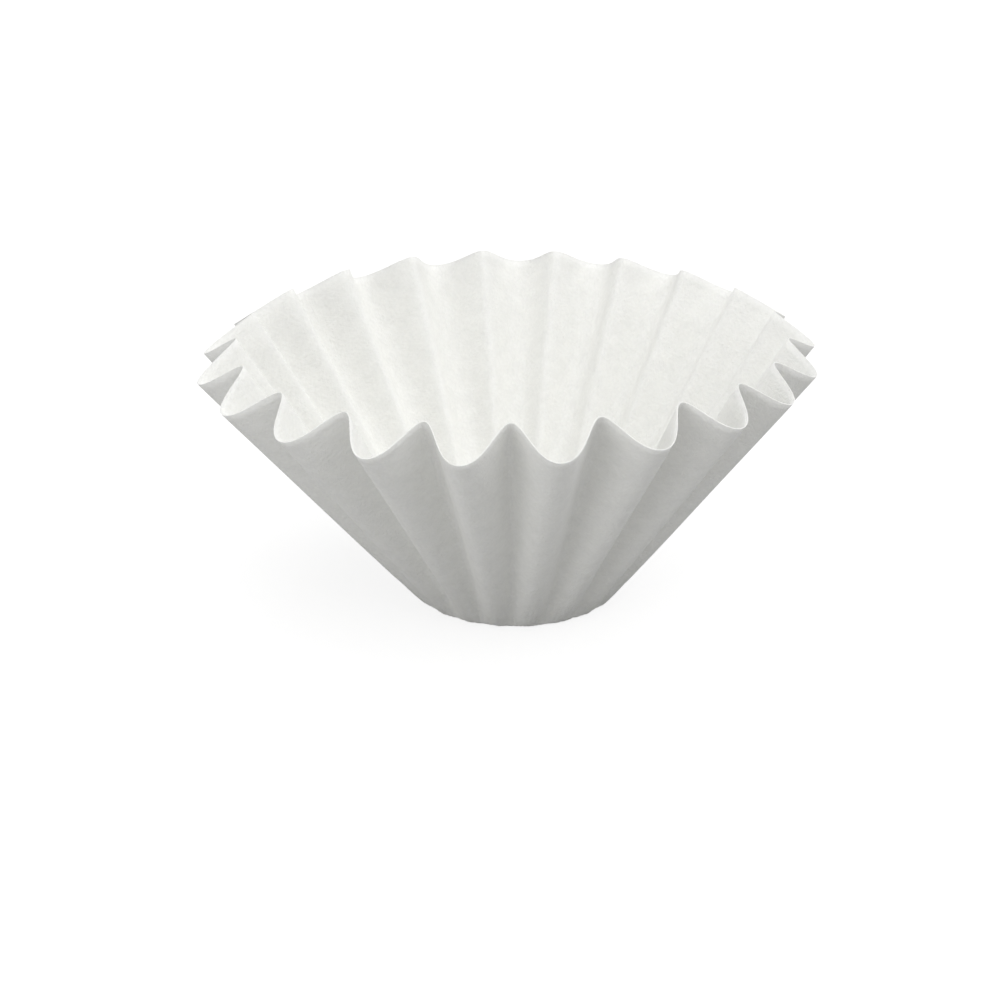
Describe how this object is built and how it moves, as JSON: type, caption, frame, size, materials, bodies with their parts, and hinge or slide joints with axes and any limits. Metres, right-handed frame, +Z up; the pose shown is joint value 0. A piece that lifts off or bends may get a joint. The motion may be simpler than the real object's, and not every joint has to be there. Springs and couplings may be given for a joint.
{
  "type": "paper coffee filter",
  "caption": "Fluted flat-bottom basket filter of thin white paper: a round level base with a flared wall pressed into even flutes, open at the top.",
  "frame": {"origin": "middle of the underside of the flat bottom", "axes": "+Z up out of the open mouth, -Y towards the viewer of the picture, +X to the right"},
  "size_m": [0.1336, 0.13, 0.0614],
  "materials": {
    "paper": "matte white filter paper, faint fibre mottling"
  },
  "bodies": {
    "root": {"filter_paper": "paper"}
  },
  "joints": []
}
